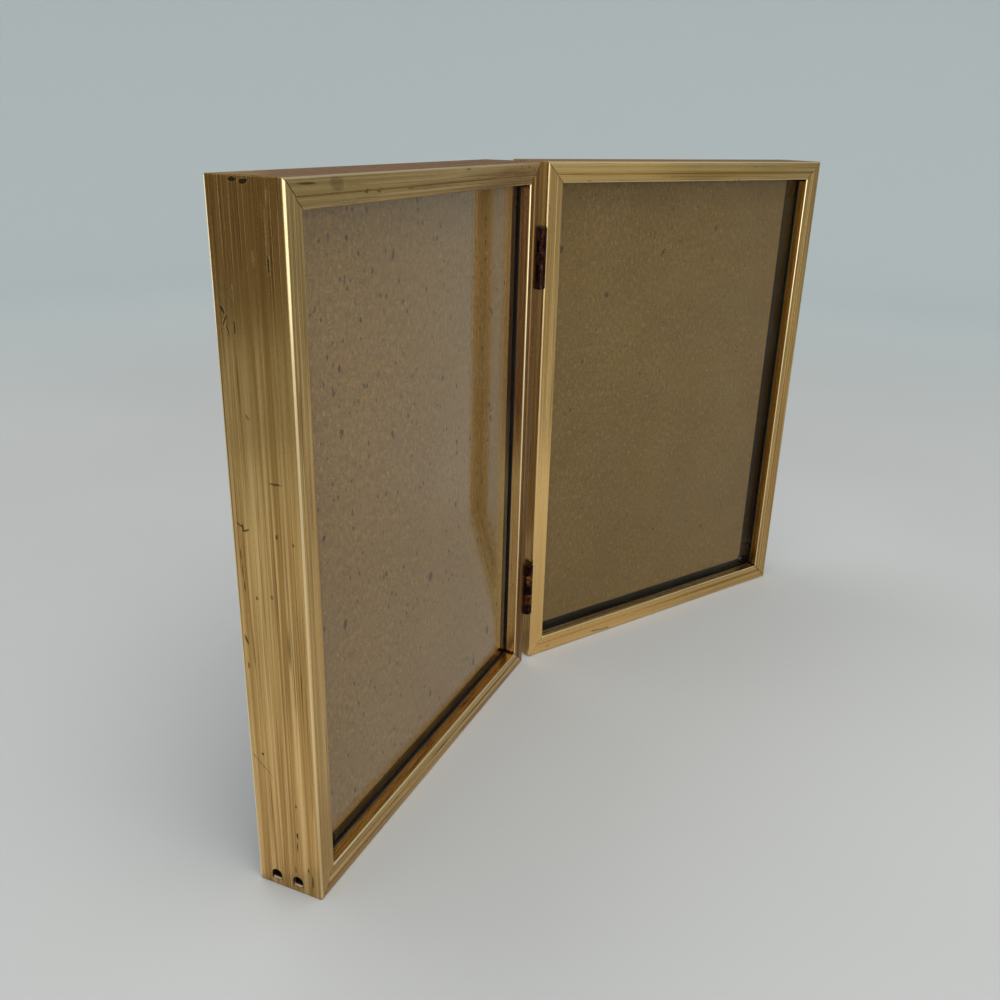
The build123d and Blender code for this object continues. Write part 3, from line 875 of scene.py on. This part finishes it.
def small_metal(name, bright, dark, worn, roughness, rub, seed=0.0, tongue_of=None):
    """Metal with blotches of tarnish, fine scratches and corners rubbed to a lighter tone.

    Where it is the key of a leaf, given as tongue_of, its tongue in the wall's hole is bright.
    """
    shader = Shader(name)
    times, plus, ramp = shader.times, shader.plus, shader.ramp
    place = shader.scaled(shader.object_place(), MILLIMETRES)
    blotches = shader.noise(place, detail=4.0, roughness=0.6, scale=0.45)
    stretch = (1.0 / SCRATCH_WIDTH, 1.0 / SCRATCH_WIDTH, 0.25)
    scratch_place = shader.vector("MULTIPLY", place, stretch)
    scratch_place = shader.vector("ADD", scratch_place, (seed, 0.0, 0.0))
    scratches = shader.noise(scratch_place, roughness=0.6)
    colour = shader.mix(ramp(blotches, 0.35, 0.68), dark, bright)
    colour = shader.lay(colour, worn, ramp(scratches, 0.55, 0.75), 0.5)

    rounded = shader.rounded()
    flat_normal = shader.add("NewGeometry").outputs["Normal"]
    turn = shader.vector("DOT_PRODUCT", rounded, flat_normal)
    corner = times(ramp(turn, 0.995, 0.9), ramp(blotches, 0.4, 0.6))
    colour = shader.lay(colour, worn, corner, rub)
    if tongue_of is not None:
        u, _, z = shader.leaf_place(tongue_of)
        inner_end = tongue_of.width - TONGUE_DEPTH
        in_hole = times(
            ramp(u, inner_end - 0.02, inner_end), ramp(z, TONGUE_TOP + 0.05, TONGUE_TOP - 0.05)
        )
        colour = shader.mix(in_hole, colour, TONGUE)

    dullness = ramp(blotches, 0.3, 0.7, roughness + 0.14, roughness)
    shader.set(
        Base_Color=colour,
        Metallic=1.0,
        Roughness=plus(dullness, times(scratches, 0.08)),
        Normal=shader.bump(plus(scratches, blotches), METAL_RELIEF, rounded),
    )
    return shader.material


KEY_STEEL = {
    side: small_metal(
        f"key_strip_{side}", tone(84, 66, 42), tone(40, 30, 18), tone(120, 98, 66),
        roughness=0.5, rub=0.3, tongue_of=leaves[side],
    )
    for side in SIDES
}
CLIP_STEEL = small_metal(
    "spring_steel", tone(176, 176, 174), tone(120, 117, 112), tone(216, 216, 214),
    roughness=0.3, rub=0.7, seed=4.0,
)
RIVET_BRASS = small_metal(
    "dull_brass", tone(206, 174, 110), tone(138, 106, 60), tone(240, 214, 152),
    roughness=0.32, rub=0.7, seed=8.0,
)
HINGE_BLACK = small_metal(
    "blackened_brass", tone(44, 24, 20), tone(20, 9, 9), tone(132, 88, 58),
    roughness=0.34, rub=0.45, seed=12.0,
)
HINGE_RUBBED = small_metal(
    "rubbed_brass", tone(134, 86, 46), tone(48, 24, 14), tone(172, 128, 82),
    roughness=0.36, rub=0.5, seed=16.0,
)


def dress(node, material):
    for slot in nodes[node].material_slots:
        slot.material = material


for side_index, side in enumerate(SIDES):
    leaf = leaves[side]
    for rail_index, rail in enumerate(RAILS):
        dress(f"{side}_{rail}_rail", gilt(leaf, rail, 50.0 * side_index + 10.0 * rail_index))
    dress(f"{side}_glass", glass(leaf, 2.0 + side_index))
    dress(f"{side}_chipboard", chipboard(leaf, 30.0 * side_index))
    dress(f"{side}_spacer_pad", corrugated(leaf, 5.0 * side_index))
    dress(f"{side}_back_panel", flock(leaf, 9.0 * side_index))
    dress(f"{side}_clip_rivets", RIVET_BRASS)
    dress(f"{side}_hinge_rivets", HINGE_BLACK)
    for place in ("outer", "hinge"):
        for level in ("top", "bottom"):
            dress(f"{side}_key_{level}_{place}", KEY_STEEL[side])
        for level in ("upper", "lower"):
            dress(f"{side}_clip_{level}_{place}", CLIP_STEEL)
for level, right_leaf_brass in (("upper", HINGE_BLACK), ("lower", HINGE_RUBBED)):
    dress(f"{level}_hinge_left_leaf", HINGE_BLACK)
    dress(f"{level}_hinge_right_leaf", right_leaf_brass)
    dress(f"{level}_hinge_pin", HINGE_BLACK)


# Floor and backdrop

FLOOR_TONE = tone(180, 181, 181)
FLOOR_CLOUD = tone(185, 186, 185)
BACKDROP_TONE = tone(202, 209, 210)
FLOOR_RADIUS = 1.1
FLOOR_FADE = 0.35  # where the floor starts to turn into the backdrop's tone, in metres
FLOOR_TURNS = 96  # faces round the middle
SWEEP_RADIUS = 0.5
SWEEP_STEPS = 12
SWEEP_TOP = 0.9


def floor_material():
    shader = Shader("pale_floor")
    place = shader.object_place()
    cloud = shader.noise(place, scale=3.0)
    colour = shader.mix(shader.ramp(cloud, 0.3, 0.7), FLOOR_TONE, FLOOR_CLOUD)
    far = shader.ramp(shader.vector("LENGTH", place), FLOOR_FADE, FLOOR_RADIUS)
    colour = shader.mix(far, colour, BACKDROP_TONE)
    shader.set(Base_Color=colour, Roughness=0.6, Specular_IOR_Level=0.35)
    return shader.material


def sweep():
    """A round floor whose rim curves up into a wall."""
    rim = [(FLOOR_RADIUS * 0.5, 0.0), (FLOOR_RADIUS, 0.0)]
    for step in range(1, SWEEP_STEPS + 1):
        turn = math.pi / 2 * step / SWEEP_STEPS
        rim.append((
            FLOOR_RADIUS + SWEEP_RADIUS * math.sin(turn),
            SWEEP_RADIUS * (1 - math.cos(turn)),
        ))
    rim.append((FLOOR_RADIUS + SWEEP_RADIUS, SWEEP_TOP))
    vertices = [(0.0, 0.0, 0.0)]
    for radius, height in rim:
        for turn in range(FLOOR_TURNS):
            angle = math.tau * turn / FLOOR_TURNS
            vertices.append((radius * math.cos(angle), radius * math.sin(angle), height))
    faces = []
    for turn in range(FLOOR_TURNS):
        following = (turn + 1) % FLOOR_TURNS
        faces.append((0, 1 + turn, 1 + following))
        for ring in range(len(rim) - 1):
            lower = 1 + ring * FLOOR_TURNS
            upper = lower + FLOOR_TURNS
            faces.append((lower + turn, upper + turn, upper + following, lower + following))
    mesh = bpy.data.meshes.new("floor")
    mesh.from_pydata(vertices, [], faces)
    mesh.shade_smooth()
    mesh.materials.append(floor_material())
    floor = bpy.data.objects.new("floor", mesh)
    bpy.context.scene.collection.objects.link(floor)


sweep()


# What the metal and the glass reflect: cards that nothing else sees

CARD_ROSE = tone(128, 104, 92)
CARD_BROWN = tone(106, 90, 68)
FLAG_BROWN = tone(164, 144, 108)
STRIP_BROWN = tone(110, 92, 66)
STRIP_DARK = tone(84, 64, 38)
GROUND_NEAR = tone(202, 201, 200)
GROUND_FAR = tone(190, 190, 188)
CARD_ROUGHNESS = 0.9

# The left frame's outer wall, where the strips on the floor start, and the way that it faces
WALL_FOOT = Vector((-0.155, -0.02, 0))
WALL_AZIMUTH = -67
STRIP_LENGTH = 0.5


def around(azimuth, distance, height):
    """A place round the object: azimuth 0 lies along +Y and 90 along +X, in degrees."""
    turn = math.radians(azimuth)
    return Vector((distance * math.sin(turn), distance * math.cos(turn), height))


def card(name, centre, facing, width, height, colour):
    """A flat card for mirror reflections alone."""
    mesh = bpy.data.meshes.new(name)
    x, y = width / 2, height / 2
    mesh.from_pydata([(-x, -y, 0), (x, -y, 0), (x, y, 0), (-x, y, 0)], [], [(0, 1, 2, 3)])
    made = bpy.data.objects.new(name, mesh)
    bpy.context.scene.collection.objects.link(made)
    made.location = centre
    made.rotation_mode = "QUATERNION"
    made.rotation_quaternion = Vector(facing).to_track_quat("Z", "Y")
    shader = Shader(name)
    shader.set(Base_Color=colour, Roughness=CARD_ROUGHNESS)
    mesh.materials.append(shader.material)
    made.visible_camera = False
    made.visible_diffuse = False
    made.visible_shadow = False
    made.visible_transmission = False
    return made


def strip(name, near, far, lift, colour):
    """A card on the floor, from near to far metres out from the left frame's outer wall."""
    centre = WALL_FOOT + Vector((0, 0, lift)) + around(WALL_AZIMUTH, (near + far) / 2, 0)
    made = card(name, centre, UPWARD, STRIP_LENGTH, far - near, colour)
    made.rotation_mode = "XYZ"
    made.rotation_euler = (0, 0, math.radians(-WALL_AZIMUTH))


card("back_wall", around(45, 1.05, 0.46), -around(45, 1, 0), 2.0, 0.5, CARD_ROSE)
card("left_wall", (-0.836, 0.269, 0.31), -around(WALL_AZIMUTH, 1, 0), 0.75, 0.6, CARD_BROWN)
card("hinge_flag", around(-27, 0.14, 0.14), -around(-27, 1, 0), 0.1, 0.28, FLAG_BROWN)
strip("far_strip", 0.57, 0.63, 0.002, STRIP_BROWN)
strip("near_strip", 0.43, 0.49, 0.002, STRIP_DARK)
strip("pale_near", 0.004, 0.09, 0.0015, GROUND_NEAR)
strip("pale_far", 0.09, 0.3, 0.0015, GROUND_FAR)


# Lamps and world

OVERHEAD_WHITE = (1.0, 0.99, 0.98)
WINDOW_WHITE = (1.0, 0.985, 0.96)
BACK_WHITE = (1.0, 0.99, 0.97)
WINDOW_PLACE = Vector((-0.40, -0.69, 0.27))
BACK_PLACE = Vector((-0.414, 0.685, 0.25))
WORLD_TONE = tone(192, 196, 196)
WORLD_STRENGTH = 0.95


def softbox(name, place, target, width, height, watts, colour):
    data = bpy.data.lights.new(name, "AREA")
    data.shape = "RECTANGLE"
    data.size = width
    data.size_y = height
    data.energy = watts
    data.color = colour
    lamp = bpy.data.objects.new(name, data)
    bpy.context.scene.collection.objects.link(lamp)
    lamp.location = place
    lamp.rotation_mode = "QUATERNION"
    lamp.rotation_quaternion = (Vector(target) - Vector(place)).to_track_quat("-Z", "Y")
    lamp.visible_camera = False


middle = (cad_low + cad_high) / 2
softbox("overhead", (-0.1, -0.38, 1.3), middle, 0.9, 0.9, 9.6, OVERHEAD_WHITE)
softbox("overhead_back", (-0.05, 0.55, 1.2), middle, 0.5, 0.5, 2.5, OVERHEAD_WHITE)
softbox("window", WINDOW_PLACE, WINDOW_PLACE + around(21, 1, 0), 1.2, 0.5, 3.0, WINDOW_WHITE)
softbox("back_strip", BACK_PLACE, BACK_PLACE - around(-20, 1, 0), 0.35, 0.45, 0.6, BACK_WHITE)

world = bpy.data.worlds.new("room")
bpy.context.scene.world = world
world.use_nodes = True
background = world.node_tree.nodes["Background"]
background.inputs["Color"].default_value = WORLD_TONE
background.inputs["Strength"].default_value = WORLD_STRENGTH


# Camera, at the photograph's place and angle

CAMERA_PLACE = (-0.29544, -0.21319, 0.22017)
CAMERA_YAW = math.radians(50.9375)
CAMERA_PITCH = math.radians(21.3977)
CAMERA_ROLL = math.radians(1.547)
CAMERA_LENS = 34.5326
CAMERA_SENSOR = 36.0
CAMERA_NEAREST = 0.01
CAMERA_FARTHEST = 20.0

forward = Vector((
    math.sin(CAMERA_YAW) * math.cos(CAMERA_PITCH),
    math.cos(CAMERA_YAW) * math.cos(CAMERA_PITCH),
    -math.sin(CAMERA_PITCH),
))
level_right = Vector((math.cos(CAMERA_YAW), -math.sin(CAMERA_YAW), 0))
level_up = level_right.cross(forward)
right = level_right * math.cos(CAMERA_ROLL) + level_up * math.sin(CAMERA_ROLL)
up = level_up * math.cos(CAMERA_ROLL) - level_right * math.sin(CAMERA_ROLL)
camera_data = bpy.data.cameras.new("camera")
camera_data.lens = CAMERA_LENS
camera_data.sensor_width = CAMERA_SENSOR
camera_data.clip_start = CAMERA_NEAREST
camera_data.clip_end = CAMERA_FARTHEST
camera = bpy.data.objects.new("camera", camera_data)
bpy.context.scene.collection.objects.link(camera)
axes = Matrix((right, up, -forward)).transposed().to_4x4()
camera.matrix_world = Matrix.Translation(Vector(CAMERA_PLACE)) @ axes
bpy.context.scene.camera = camera
bpy.context.scene.view_settings.view_transform = "Standard"


bpy.context.view_layer.update()
